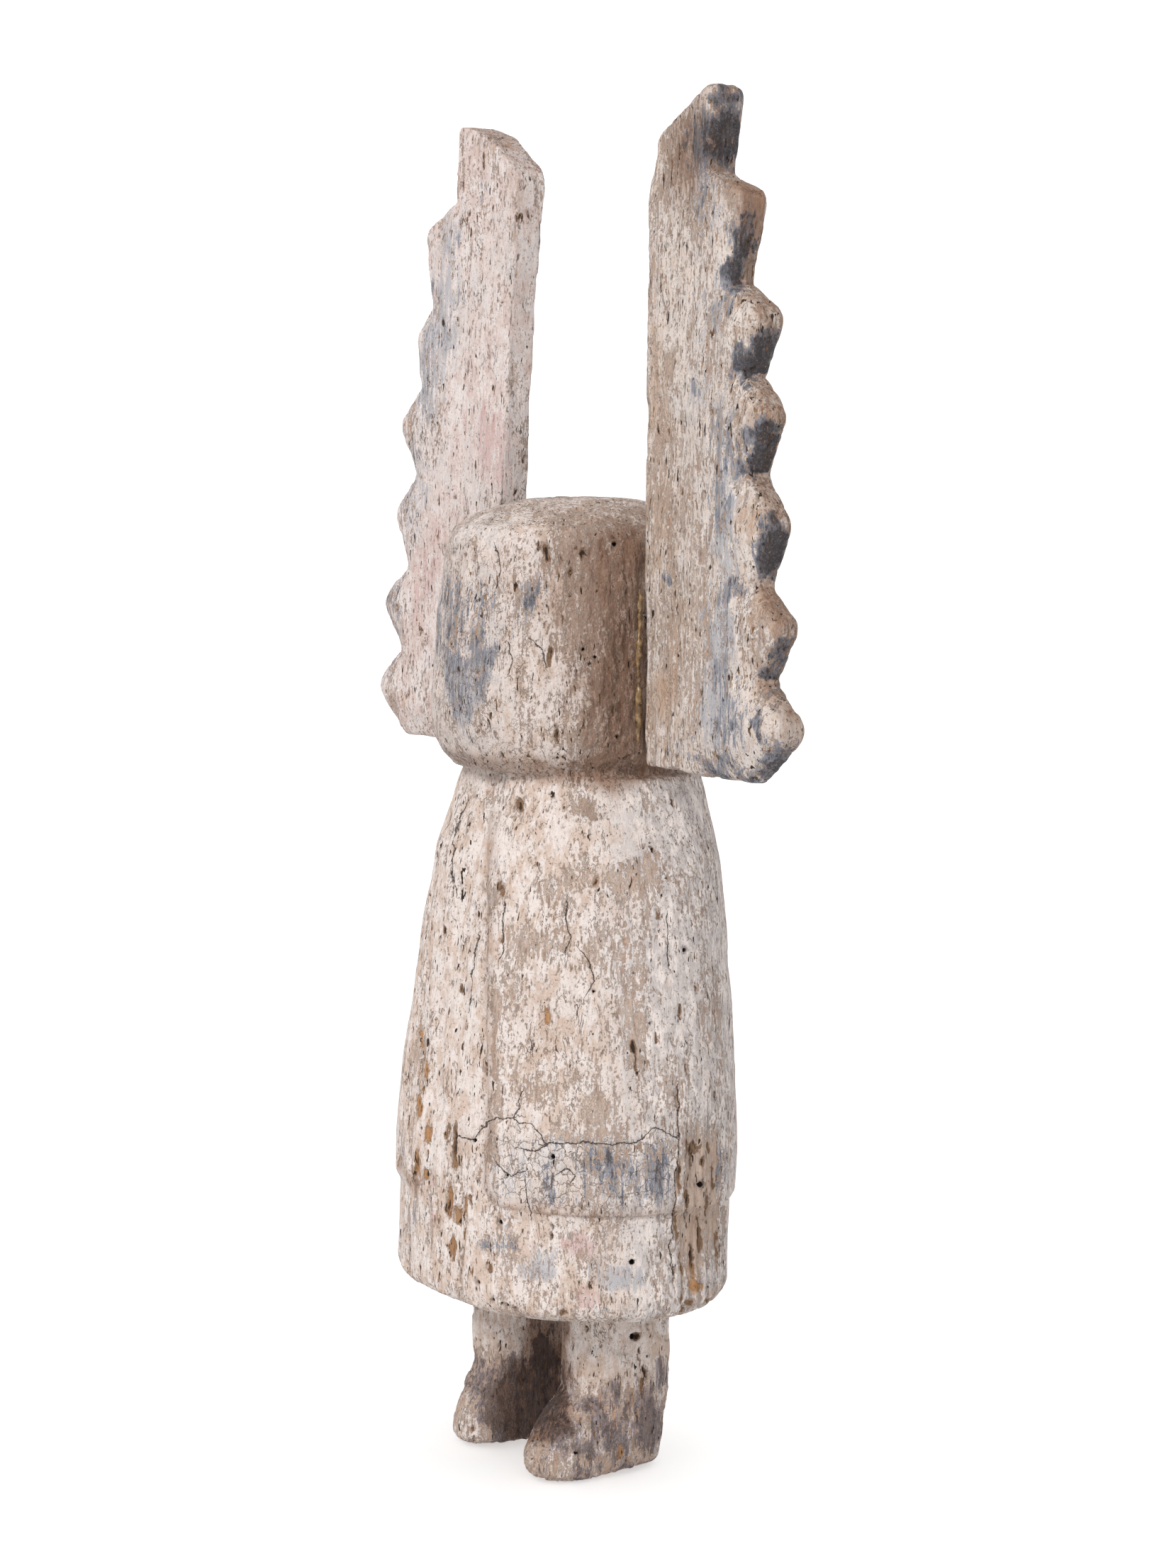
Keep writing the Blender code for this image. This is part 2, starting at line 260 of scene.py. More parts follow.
CRACKS = (
    (
        (650, 1602), (665, 1609), (673, 1598), (682, 1584), (695, 1579), (724, 1577), (731, 1584),
        (747, 1585), (760, 1595), (769, 1615), (775, 1613), (833, 1613), (862, 1616), (890, 1612),
        (905, 1607), (920, 1592), (936, 1594), (955, 1607),
    ),
    ((724, 1577), (733, 1561), (731, 1553), (736, 1540)),
    ((735, 1620), (752, 1625), (766, 1618), (775, 1613)),
    (
        (957, 1530), (958, 1600), (959, 1627), (956, 1659), (954, 1700), (950, 1725), (947, 1760),
        (951, 1796),
    ),
    ((672, 1320), (668, 1345), (664, 1400), (660, 1420)),
    ((712, 1275), (708, 1300), (712, 1330), (706, 1350)),
    ((800, 1270), (798, 1300), (804, 1320), (796, 1345)),
    ((820, 1340), (832, 1360), (838, 1385), (830, 1400)),
    ((943, 1290), (942, 1340), (946, 1364)),
    ((748, 1450), (746, 1465), (750, 1485)),
    ((752, 905), (765, 915), (770, 940)),
    ((715, 910), (722, 930), (716, 950)),
    ((698, 770), (704, 795), (701, 820)),
    ((655, 1130), (640, 1185), (636, 1240), (645, 1262)),
    ((790, 1655), (800, 1650), (812, 1660), (806, 1668)),
    ((700, 1640), (712, 1655), (722, 1660), (738, 1652)),
    ((740, 1660), (742, 1690), (748, 1720)),
)

SLITS = (
    (894, 1477, 5, 10, 1.0), (896, 1498, 2.2, 18, 0.7), (961, 1428, 3, 13, 0.9), (968, 1508, 3, 9, 0.6),
    (771, 1433, 5, 16, 0.6), (926, 1464, 3, 10, 0.6), (642, 1615, 4.5, 34, 0.9), (633, 1692, 3.5, 26, 0.7),
    (685, 1508, 3, 10, 0.9), (644, 1715, 5, 14, 0.7), (638, 1760, 5, 22, 0.7), (769, 780, 3, 14, 1.0),
    (821, 780, 3.5, 11, 1.0), (806, 808, 3.5, 9, 1.0), (760, 769, 3, 7, 0.8), (733, 1135, 6, 10, 0.9),
    (776, 925, 3, 18, 0.7), (1004, 1620, 3, 10, 0.8), (690, 1790, 4, 8, 0.6), (982, 1620, 8, 12, 0.6),
    (707, 1255, 3, 14, 0.6), (709, 1325, 3, 8, 0.7), (624, 1310, 3, 9, 0.9), (650, 1395, 3, 8, 0.7),
    (899, 1886, 6, 7, 0.9), (794, 1850, 8, 6, 0.6), (905, 1955, 3, 12, 0.8), (876, 2050, 4, 16, 0.8),
    (640, 1100, 5, 8, 0.6), (930, 1290, 3, 12, 0.5), (984, 1395, 2.5, 10, 0.5), (960, 1660, 3, 26, 0.7),
    (955, 1730, 3, 30, 0.6), (964, 1790, 3, 30, 0.6), (1008, 1660, 3, 26, 0.6), (980, 1640, 3, 18, 0.5),
    (590, 1465, 4, 12, 0.8), (598, 1510, 4.5, 16, 0.8), (590, 1560, 4, 20, 0.8), (604, 1600, 3.5, 14, 0.7),
    (588, 1640, 4.5, 18, 0.8), (600, 1655, 4, 10, 0.7), (655, 1700, 4, 16, 0.6), (630, 1600, 3, 22, 0.5),
    (984, 1815, 7, 8, 0.7), (975, 1840, 6, 6, 0.7), (1000, 1836, 5, 6, 0.6), (972, 1700, 2.5, 34, 0.8),
    (990, 1740, 3, 30, 0.8), (1000, 1700, 2.5, 24, 0.7), (980, 1780, 3, 28, 0.8), (996, 1640, 4, 10, 0.8),
    (970, 1620, 3, 16, 0.7), (1012, 1760, 2.5, 26, 0.6), (962, 1840, 3, 18, 0.7),
)

SHAWL_EDGES = (
    (
        (690, 1150), (688, 1250), (687, 1400), (685, 1600), (684, 1676), (690, 1691), (702, 1701),
        (718, 1705), (740, 1708), (784, 1715), (851, 1719), (900, 1718), (948, 1714),
    ),
    ((587, 1671), (566, 1653), (558, 1630)),
)

BROWN_SIDE = ((766, 730), (925, 720), (930, 1095), (826, 1090), (806, 1000), (772, 880))
TRIANGLE = (
    (622, 918), (660, 930), (704, 906), (694, 950), (678, 992), (652, 1036), (634, 1008), (626, 970),
)
NECK_SHADE = ((730, 1074), (915, 1084), (898, 1108), (862, 1124), (830, 1108), (740, 1094))
FRONT_STRIP = ((585, 1100), (690, 1100), (686, 1700), (700, 1860), (540, 1860), (560, 1500))
BORDER = ((692, 1622), (704, 1602), (955, 1606), (953, 1702), (850, 1712), (735, 1700), (696, 1688))
# The inside of the far leg, where the shade between the legs is painted on in slate and brown
SHADED_INNER_LEG = ((744, 1850), (800, 1850), (800, 2020), (740, 2040), (712, 2010), (722, 1940))

# Ranges in the view's pixels over which something comes in
BACK_STRIP_X = (950, 972)
BACK_STRIP_Y = (1540, 1620)
# Over this range the painted shade on the mask's side grows towards the near wing
MASK_SHADED_TOWARD_WING_X = (790, 890)
MASK_COOLS_X = (740, 680)
ROBE_COOLS_X = (820, 930)
GRAIN_OPENS_X = (950, 980)

FIGURE_MARKS = {
    "bare": (
        (750, 1328, 34, 34, 0.24), (775, 1256, 32, 26, 0.20), (835, 1235, 32, 20, 0.18),
        (895, 1240, 44, 34, 0.22), (890, 1440, 32, 56, 0.18), (940, 1535, 18, 36, 0.22),
        (995, 1430, 16, 44, 0.22), (845, 1565, 24, 36, 0.22), (770, 1540, 36, 24, 0.18),
        (695, 1520, 9, 110, 0.28), (990, 1690, 26, 100, 0.40), (795, 1604, 34, 8, 0.36),
        (850, 1350, 60, 60, 0.13), (930, 1620, 30, 10, 0.2), (840, 1330, 16, 50, 0.12),
        (715, 1390, 14, 30, 0.15), (865, 1640, 10, 40, 0.2), (690, 1420, 8, 30, 0.2),
        (600, 1250, 12, 120, 0.10), (640, 1430, 8, 80, 0.14), (600, 1520, 10, 90, 0.14),
        (600, 1740, 30, 60, 0.06), (650, 1770, 12, 50, 0.14), (735, 1770, 36, 36, 0.10),
        (835, 1137, 26, 14, 0.34), (850, 1760, 50, 36, 0.08),
    ),
    "kept": (
        (770, 1440, 52, 62, 0.04), (660, 1480, 24, 190, 0.12), (730, 1600, 30, 22, 0.30),
        (720, 1650, 22, 40, 0.2), (800, 1650, 22, 30, 0.22), (940, 1380, 40, 90, 0.06),
        (760, 1190, 110, 40, 0.08), (910, 1180, 60, 34, 0.10), (720, 760, 70, 40, 0.10),
        (620, 1600, 14, 60, 0.1), (700, 1350, 14, 50, 0.10), (690, 1010, 50, 60, 0.06),
    ),
    "pitted": (
        (596, 1500, 26, 150, 0.5), (640, 1640, 34, 150, 0.4), (985, 1690, 30, 90, 0.5),
        (700, 1060, 70, 30, 0.4), (730, 780, 110, 60, 0.3), (720, 900, 70, 100, 0.3),
        (900, 1400, 70, 120, 0.14), (640, 1760, 60, 80, 0.4),
    ),
    "even": ((770, 1440, 50, 60, 1.0), (835, 1137, 40, 20, 1.0)),
    "rubbed": ((835, 1137, 24, 12, 1.0),),
    "rough_skin": ((835, 1137, 26, 13, 1.2),),
    "slate": (
        (930, 1655, 22, 44, 0.42), (872, 1660, 26, 40, 0.24), (774, 1672, 16, 34, 0.36),
        (714, 1655, 10, 18, 0.3), (720, 1625, 18, 14, 0.25), (826, 1650, 8, 40, 0.35),
        (852, 1640, 20, 20, 0.3), (560, 1620, 14, 40, 0.5), (705, 1757, 48, 14, 0.56),
        (580, 1715, 18, 36, 0.48), (770, 1800, 16, 16, 0.3), (1020, 1650, 8, 50, 0.5),
        (940, 1735, 10, 12, 0.35), (700, 1690, 8, 20, 0.2), (846, 1850, 30, 6, 0.4),
        (720, 1735, 10, 20, 0.35),
    ),
    "slate_gone": ((735, 1655, 26, 44, 0.34), (806, 1648, 16, 30, 0.45), (845, 1690, 12, 26, 0.2)),
    "mask_slate": (
        (632, 850, 26, 56, 0.56), (750, 834, 30, 26, 0.54), (736, 868, 20, 26, 0.42),
        (680, 850, 28, 48, 0.48), (614, 900, 6, 60, 0.45), (712, 896, 18, 20, 0.38),
        (645, 910, 30, 26, 0.34), (672, 905, 18, 24, 0.3), (660, 1045, 10, 12, 0.2),
    ),
    "boots": (
        (712, 1985, 36, 56, 0.72), (770, 1950, 24, 90, 0.5), (915, 2005, 16, 50, 0.30),
        (850, 1980, 26, 16, 0.26), (870, 2050, 14, 30, 0.2), (660, 1950, 16, 14, 0.4),
        (700, 2020, 20, 30, 0.3),
    ),
    "blue": (
        (880, 1800, 34, 20, 0.85), (755, 1785, 34, 30, 0.6), (665, 1360, 16, 80, 0.4),
        (840, 1780, 20, 16, 0.5), (770, 1800, 14, 14, 0.5), (580, 1740, 20, 40, 0.4),
        (1005, 1800, 16, 20, 0.5), (636, 880, 34, 60, 0.45), (745, 845, 30, 36, 0.5),
        (680, 850, 30, 40, 0.35), (700, 1240, 14, 60, 0.4),
    ),
    "pink": (
        (815, 1755, 28, 24, 0.75), (830, 1830, 18, 26, 0.95), (690, 1690, 10, 20, 0.2),
        (800, 1990, 22, 24, 0.5), (690, 1985, 20, 20, 0.45), (605, 1700, 8, 60, 0.5),
        (800, 1900, 30, 20, 0.3),
    ),
    "rust": (
        (600, 1500, 12, 150, 0.20), (604, 1720, 24, 80, 0.18), (640, 1560, 8, 160, 0.26),
        (695, 1500, 8, 140, 0.42), (700, 1850, 80, 18, 0.34), (1000, 1810, 24, 40, 0.44),
        (985, 1650, 10, 60, 0.3), (915, 1630, 16, 20, 0.36), (655, 1810, 10, 30, 0.4),
        (790, 1960, 26, 50, 0.36), (870, 1920, 50, 30, 0.24), (690, 1000, 60, 40, 0.28),
        (700, 780, 30, 16, 0.45), (770, 1440, 44, 70, 0.34), (645, 1200, 14, 60, 0.30),
        (830, 1690, 8, 40, 0.4), (900, 1300, 20, 60, 0.2), (940, 1420, 12, 50, 0.2),
        (885, 1700, 6, 20, 0.35), (760, 1870, 60, 12, 0.3),
    ),
    # Stain marks; the two at (722, 1985) and (735, 1900) are painted shade inside the far leg
    "stain_and_shade": (
        (835, 1137, 26, 13, 0.5), (990, 1700, 24, 90, 0.2), (645, 1615, 10, 34, 0.3),
        (722, 1985, 36, 60, 1.0), (735, 1900, 20, 50, 0.3), (770, 1440, 50, 70, 0.12),
    ),
    "fresh": (
        (598, 1500, 26, 160, 0.9), (771, 1430, 16, 26, 0.9), (630, 1720, 60, 90, 0.4),
        (690, 880, 60, 90, 0.5), (860, 2010, 60, 70, 0.4), (985, 1810, 30, 24, 0.7),
    ),
}

LEFT_WING_MARKS = {
    "slate": (
        (1021, 196, 21, 52, 1.3), (1022, 134, 30, 16, 0.8), (984, 200, 18, 60, 0.77),
        (1045, 345, 18, 44, 0.9), (1034, 385, 18, 20, 0.9), (1034, 425, 14, 24, 0.56),
        (1056, 512, 22, 28, 1.2), (985, 545, 12, 22, 0.63), (1026, 630, 22, 66, 0.59),
        (1080, 625, 26, 38, 1.25), (1056, 664, 14, 14, 0.7), (1086, 765, 20, 42, 1.1),
        (1020, 720, 22, 50, 0.5), (941, 818, 8, 10, 0.7), (1030, 832, 22, 26, 0.67),
        (1024, 950, 26, 44, 0.52), (1028, 1030, 28, 50, 0.59), (1076, 1026, 13, 26, 0.9),
        (1097, 1076, 14, 7, 1.4), (960, 1060, 40, 16, 0.42), (1012, 450, 12, 60, 0.42),
        (1000, 290, 14, 40, 0.5), (960, 330, 20, 30, 0.2), (1100, 980, 14, 10, 0.56),
    ),
    "blue": (
        (1026, 700, 24, 190, 0.75), (1000, 290, 22, 50, 0.55), (1015, 1010, 36, 70, 0.8),
        (985, 560, 18, 60, 0.45), (1016, 900, 24, 60, 0.75), (1010, 440, 16, 60, 0.6),
    ),
    "pink": ((1100, 590, 16, 16, 0.4), (1096, 730, 14, 12, 0.3)),
    "rust": (
        (926, 560, 20, 110, 0.44), (935, 975, 30, 56, 0.56), (1088, 845, 34, 40, 0.66),
        (1048, 268, 32, 22, 0.5), (1070, 420, 24, 26, 0.4), (1070, 575, 30, 16, 0.5),
        (1060, 730, 24, 22, 0.5), (920, 400, 14, 80, 0.36), (990, 780, 14, 60, 0.26),
        (1080, 960, 26, 20, 0.4), (930, 760, 16, 90, 0.34), (1000, 880, 12, 50, 0.3),
    ),
    "stain_and_shade": (
        (975, 215, 36, 80, 0.85), (1062, 345, 16, 50, 0.15), (945, 250, 20, 80, 0.15),
        (1050, 285, 24, 40, 0.3), (940, 760, 14, 200, 0.15), (1068, 600, 20, 20, 0.3),
    ),
    "bare": (
        (930, 750, 30, 260, 0.08), (1050, 280, 24, 40, 0.25), (1085, 900, 16, 30, 0.1),
        (950, 300, 24, 100, 0.10), (1060, 330, 20, 60, 0.25), (960, 880, 30, 70, 0.10),
    ),
    "clean": (
        (985, 600, 26, 60, 0.16), (1040, 760, 16, 120, 0.12), (1040, 1020, 30, 50, 0.12),
        (1068, 500, 12, 26, 0.3), (960, 340, 30, 30, 0.12),
    ),
}

RIGHT_WING_MARKS = {
    "slate": (
        (680, 275, 12, 24, 0.4), (640, 350, 12, 50, 0.38), (615, 470, 12, 90, 0.42),
        (600, 560, 12, 60, 0.42), (574, 700, 12, 60, 0.46), (558, 850, 14, 60, 0.50),
        (550, 930, 16, 40, 0.46), (590, 640, 10, 30, 0.4),
    ),
    "blue": (
        (636, 400, 20, 130, 0.7), (608, 520, 20, 90, 0.7), (590, 700, 18, 90, 0.5),
        (722, 560, 10, 200, 0.3), (720, 350, 20, 60, 0.25),
    ),
    "pink": (
        (700, 640, 28, 80, 0.55), (604, 830, 22, 100, 0.5), (655, 600, 44, 130, 0.30),
        (640, 760, 30, 80, 0.3),
    ),
    "bare": (
        (720, 290, 24, 50, 0.15), (560, 620, 14, 30, 0.2), (545, 830, 14, 40, 0.2),
        (560, 990, 40, 16, 0.15),
    ),
    "clean": ((670, 480, 50, 160, 0.14), (640, 800, 60, 160, 0.12)),
    "rust": (
        (725, 300, 20, 80, 0.4), (735, 480, 10, 120, 0.34), (560, 620, 12, 30, 0.4),
        (548, 850, 14, 60, 0.44), (700, 200, 50, 14, 0.4), (570, 990, 40, 14, 0.4),
    ),
    "stain_and_shade": ((690, 190, 60, 20, 0.2), (548, 860, 14, 60, 0.3)),
}


# Copies of the CAD solids, fine enough to carve


def apply_modifiers(obj):
    """Make the result of an object's modifiers its mesh."""
    graph = bpy.context.evaluated_depsgraph_get()
    made = bpy.data.meshes.new_from_object(obj.evaluated_get(graph))
    old = obj.data
    obj.modifiers.clear()
    obj.data = made
    bpy.data.meshes.remove(old)


def fine_copy(node, name, cell, rounds):
    """An even, closed mesh of a node's solid, with its edges worn a little round."""
    bm = bmesh.new()
    bm.from_mesh(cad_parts[node].data)
    bmesh.ops.remove_doubles(bm, verts=bm.verts, dist=1e-6)
    mesh = bpy.data.meshes.new(name)
    bm.to_mesh(mesh)
    bm.free()
    obj = bpy.data.objects.new(name, mesh)
    bpy.context.scene.collection.objects.link(obj)
    even = obj.modifiers.new("even", "REMESH")
    even.mode = "VOXEL"
    even.voxel_size = cell
    worn = obj.modifiers.new("worn", "SMOOTH")
    worn.factor = 0.5
    worn.iterations = rounds
    apply_modifiers(obj)
    return obj


def points_and_normals(mesh):
    """Positions in millimetres and normals of a mesh's points."""
    flat = np.empty(len(mesh.vertices) * 3, np.float32)
    mesh.vertices.foreach_get("co", flat)
    p = flat.reshape(-1, 3).astype(float) * 1000
    mesh.vertex_normals.foreach_get("vector", flat)
    return p, flat.reshape(-1, 3).astype(float)


def move_points(mesh, p):
    """Put a mesh's points at positions in millimetres."""
    mesh.vertices.foreach_set("co", (p / 1000).astype(np.float32).ravel())
    mesh.update()


def round_feathers(mesh):
    """Let a wing's face curve in towards its feathered outer edge, which handling has rounded."""
    p, n = points_and_normals(mesh)
    outer = np.abs(p[:, 0]) > FEATHERS_FROM
    wall = np.flatnonzero(outer & (np.abs(n[:, 1]) < 0.45))
    tree = KDTree(len(wall))
    for i in wall:
        tree.insert(p[i], int(i))
    tree.balance()
    middle = p[wall, 1].mean()
    for i in np.flatnonzero(outer):
        from_wall = tree.find(p[i])[2]
        out = smooth(abs(p[i, 0]), FEATHERS_FROM, 86)
        share = 0.50 if p[i, 1] < middle else 0.10
        p[i, 1] += (middle - p[i, 1]) * share * out * (1 - min(1.0, from_wall / 11.0)) ** 1.5
    move_points(mesh, p)


def carve(obj, fields, budget):
    """Sink the relief into the mesh, keep each field as an attribute, and thin the mesh to some triangles.

    Where the relief is below zero the surface stands proud of the solid, but it stays in the box."""
    mesh = obj.data
    p, n = points_and_normals(mesh)
    relief, kept = fields(p, n)
    low, high = (1000 * np.array(corner) for corner in CAD_BOUNDS)
    move_points(mesh, np.clip(p - n * relief[:, None], low + BOX_MARGIN, high - BOX_MARGIN))
    for name, values in kept.items():
        data = mesh.attributes.new(name, "FLOAT", "POINT").data
        data.foreach_set("value", values.astype(np.float32))
    triangles = 2 * len(mesh.polygons)
    if triangles > budget:
        thin = obj.modifiers.new("thin", "DECIMATE")
        thin.ratio = budget / triangles
        apply_modifiers(obj)
    obj.data.shade_smooth()


def wear(p, bare, streaky, chance):
    """What every piece shares: how much of the white ground is left, hollows, and the first relief."""
    uneven = rough(p, 26, 3)
    streak = rough(p * (1, 1, 0.13), 1.8, 5)
    lump = rough(p * (1, 1, 0.5), 7, 7)
    ground = 0.66 + 0.5 * (lump - 0.5) + streaky * (streak - 0.5) - bare
    bent = p + 2.6 * np.stack([rough(p, 2.0, 13 + k, 2) - 0.5 for k in range(3)], axis=1) * (1, 1, 2.5)
    small = pits(bent, 3.6, 3.8, 0.95, 11, chance)
    large = pits(bent, 8.0, 3.6, 1.6, 23, chance * 0.42)
    open_grain = smooth(streak, 0.5, 0.32) * (0.5 + np.clip(bare, 0, 1))
    relief = 0.15 + 0.9 * smooth(uneven, 0.35, 0.75) + 0.45 * open_grain
    return ground, np.maximum(small, large), relief


def finish_fields(ground, hollow, relief, kept):
    """The step at the edge of the ground and the hollows, and the fields that the material reads."""
    relief = relief + 0.3 * (1 - smooth(ground, *GROUND_EDGE)) + 1.5 * smooth(hollow, 0.05, 0.75)
    return relief, {"ground": ground - 0.5 * smooth(hollow, 0.1, 0.5), "hollow": hollow, **kept}


def figure_places(p, n):
    """Where each point of the figure lies: in the view, and on which part and patch of it."""
    at = SimpleNamespace(p=p, z=p[:, 2], uv=pixels(p), seen=facing(p, n))
    at.x, at.y = at.uv[:, 0], at.uv[:, 1]
    at.unseen = 1 - at.seen
    at.wander = shifted(at.uv, p, 7, (41, 43), 40)
    at.ragged = shifted(at.uv, p, 3, (45, 46), 16)
    at.head = smooth(at.z, NECK - 6, NECK)
    at.feet = smooth(at.z, HEM, HEM - 6)
    at.robe = (1 - at.head) * (1 - at.feet)
    at.brown_side = at.seen * area(at.wander, BROWN_SIDE, 34)
    at.front_strip = at.seen * area(at.wander, FRONT_STRIP, 12)
    at.back_strip = at.seen * at.robe * smooth(at.x, *BACK_STRIP_X) * smooth(at.y, *BACK_STRIP_Y)
    at.groove = smooth(rough(p * (1, 1, 0.07), 3.2, 83, 2), 0.54, 0.36)
    at.groove *= np.maximum(at.front_strip, at.back_strip)
    at.border = at.seen * area(at.ragged, BORDER, 8)
    at.triangle = at.seen * at.head * area(at.ragged, TRIANGLE, 6)
    # Where painted shade darkens the inside of the far leg
    at.inner_leg = at.seen * at.feet * area(at.wander, SHADED_INNER_LEG, 14)
    return at


def figure_ground(at):
    """The ground, hollows and first relief of the figure."""
    bare = at.seen * (spots(at.wander, FIGURE_MARKS["bare"]) - spots(at.wander, FIGURE_MARKS["kept"]))
    bare += at.head * (-0.02 + 0.22 * at.brown_side + 0.08 * smooth(at.z, *WORN_CROWN))
    bare += at.feet * (-0.22 + 0.38 * smooth(at.z, *LOW_BOOT))
    bare += 0.05 * at.unseen + 0.1 * smooth(at.z, *WORN_HEM) * (1 - at.feet)
    bare += 0.13 * at.groove - 0.12 * at.front_strip
    streaky = 0.22 + 0.4 * at.front_strip + 0.5 * at.back_strip + 0.3 * at.feet
    streaky += 0.25 * at.head * (1 - at.brown_side) + 0.2 * at.unseen
    chance = 0.10 + 0.20 * at.head + 0.18 * at.feet + 0.12 * at.unseen
    chance += at.seen * spots(at.uv, FIGURE_MARKS["pitted"])
    ground, hollow, relief = wear(at.p, bare, streaky, np.clip(chance, 0, 1))

    hollow *= 1 - 0.9 * at.seen * np.clip(spots(at.uv, FIGURE_MARKS["even"]), 0, 1)
    torn = (rough(at.p * (1, 1, 0.5), 1.4, 47, 2)[:, None] - 0.5) * (10, 4)
    slit = at.seen * np.clip(spots(at.uv + (at.ragged - at.uv) * 0.3 + torn, SLITS), 0, 1)
    hollow = np.maximum(hollow, slit) * smooth(at.z, 1.5, 7)
    relief += 0.8 * at.groove - 0.8 * smooth(slit, 0.05, 0.75)
    relief -= 0.5 * at.robe + 0.6 * at.feet * smooth(at.z, 4, 10)
    return ground, hollow, relief


def figure_paint(at):
    """The band above the hem, the triangle on the mask, the boots, traces elsewhere, and painted shade in
    slate inside the far leg.
    """
    p, z, seen, unseen = at.p, at.z, at.seen, at.unseen
    # Slate on the inside of the far leg is painted shade
    slate = 0.28 * at.border + 0.52 * at.triangle + 0.45 * at.inner_leg
    slate += seen * (spots(at.ragged, FIGURE_MARKS["slate"]) - spots(at.ragged, FIGURE_MARKS["slate_gone"]))
    slate += seen * at.head * spots(at.ragged, FIGURE_MARKS["mask_slate"])
    slate += 0.40 * unseen * at.robe * smooth(rough(p, (14, 14, 26), 95), 0.58, 0.70)
    blue = 0.36 * at.border + 1.1 * at.triangle + seen * spots(at.wander, FIGURE_MARKS["blue"])
    blue += 0.60 * unseen * smooth(rough(p, (18, 18, 30), 93), 0.56, 0.68)
    rust = 0.14 * at.feet + 0.30 * at.head * smooth(z, *RUSTY_CROWN)
    rust += seen * spots(at.wander, FIGURE_MARKS["rust"])
    rust += 0.42 * unseen * smooth(rough(p, (20, 20, 44), 91), 0.50, 0.64)

    line = BOOT_TOP + 22 * (rough(p, 9, 57) - 0.5) + 14 * (rough(p * (1, 1, 0.3), 3, 58) - 0.5)
    toe = smooth(p[:, 1], *TOE_Y)
    boots = at.feet * smooth(z, line + 4, line - 4)
    boots *= 0.34 + 0.34 * smooth(rough(p, 6, 59), 0.36, 0.6) - 0.33 * toe
    boots += seen * spots(at.wander, FIGURE_MARKS["boots"])
    pink = seen * spots(at.wander, FIGURE_MARKS["pink"])
    return {"slate": slate, "blue": blue, "rust": rust, "boots": boots, "pink": pink}


def figure_stain_and_shade(at, from_edge):
    """Brown stain and painted shade: stain on the mask's side, with painted shade there growing towards the
    near wing, a little stain on the head below its crown, painted shadow round the neck and on the robe
    under the head, stain on the boots, painted shade inside the far leg, and painted shadow along the
    shawl's edges.
    """
    # The mask's side is stained brown, and painted shade makes it darker towards the near wing
    side = at.brown_side * (0.35 + 0.65 * smooth(at.x, *MASK_SHADED_TOWARD_WING_X))
    stain_and_shade = at.head * (0.20 * smooth(at.z, *BELOW_CROWN) + side) + 0.12 * at.feet * smooth(at.z, *LOW_BOOT)
    # Painted shade inside the far leg, from its outline and from two of the marks
    stain_and_shade += 1.5 * at.inner_leg + at.seen * spots(at.wander, FIGURE_MARKS["stain_and_shade"])
    # Painted shadow in a band round the neck, under the mask's lower edge
    stain_and_shade += 0.6 * at.seen * smooth(np.abs(at.z - NECK), 6, 1)
    # Painted shadow that the head and the near wing cast on the robe
    stain_and_shade += 0.95 * at.seen * at.robe * area(at.uv, NECK_SHADE, 13)
    # Painted shadow along the shawl's edges, at the step and beside it
    shawl_edge_shadow = 0.55 * ridge(from_edge, 0, 0.9) + 0.35 * ridge(from_edge, -1.6, 1.4)
    return stain_and_shade + at.seen * at.robe * shawl_edge_shadow


def beetle_holes(at):
    """1 in the middle of a round hole, 0 at its rim, below 0 outside."""
    hole = np.full(len(at.p), -1.0)
    for x, y, radius in HOLES:
        hole = np.maximum(hole, 1 - np.hypot(at.x - x, at.y - y) / radius)
    return np.where(at.seen > 0.3, hole, -1.0)


def figure_fields(p, n):
    """Relief of the figure, and what its material reads at each point."""
    at = figure_places(p, n)
    seen, head, feet = at.seen, at.head, at.feet
    ground, hollow, relief = figure_ground(at)
    from_edge = lines(at.uv, SHAWL_EDGES) * MM_PER_PX
    relief += 0.7 * seen * at.robe * ridge(from_edge, 0.7, 0.6)
    crack = lines(at.uv + (at.ragged - at.uv) * 0.55, CRACKS) * MM_PER_PX
    near_crack = seen * smooth(np.abs(crack), 2.6, 1.2)
    relief += 0.45 * near_crack * ridge(crack, 0, 0.5)
    hole = beetle_holes(at)
    relief += 2.6 * smooth(hole, -0.15, 0.5)
    relief += seen * spots(at.wander, FIGURE_MARKS["rubbed"]) * rough(p, 2.2, 71)
    relief += 0.55 * head * at.brown_side * smooth(rough(p * (1, 1, 0.6), 2.2, 77), 0.56, 0.36)
    relief += 0.6 * feet * smooth(at.z, 3, 9) * smooth(rough(p, 4, 79), 0.55, 0.35)

    cool = seen * (at.robe * smooth(at.x, *ROBE_COOLS_X) + 0.7 * head * smooth(at.x, *MASK_COOLS_X))
    cool += 0.5 * at.border + 0.3 * at.unseen
    crackle = 0.30 + 0.45 * at.border + 0.22 * head * (1 - at.brown_side) - 0.2 * feet
    open_grain = 0.15 + 0.5 * at.front_strip + 0.22 * feet + 0.32 * head
    open_grain += 0.3 * seen * smooth(at.x, *GRAIN_OPENS_X)
    kept = figure_paint(at)
    kept.update({
        "stain_and_shade": figure_stain_and_shade(at, from_edge),
        "fresh": np.clip(0.25 + seen * spots(at.uv, FIGURE_MARKS["fresh"]), 0, 1),
        "skin": head * at.brown_side + 0.5 * feet + seen * spots(at.wander, FIGURE_MARKS["rough_skin"]),
        "cool": np.clip(cool, 0, 1),
        "crackle": np.clip(crackle, 0, 1),
        "open": np.clip(open_grain, 0, 1),
        "crack": crack,
        "near_crack": near_crack,
        "hole": hole,
    })
    return finish_fields(ground, hollow, relief, kept)


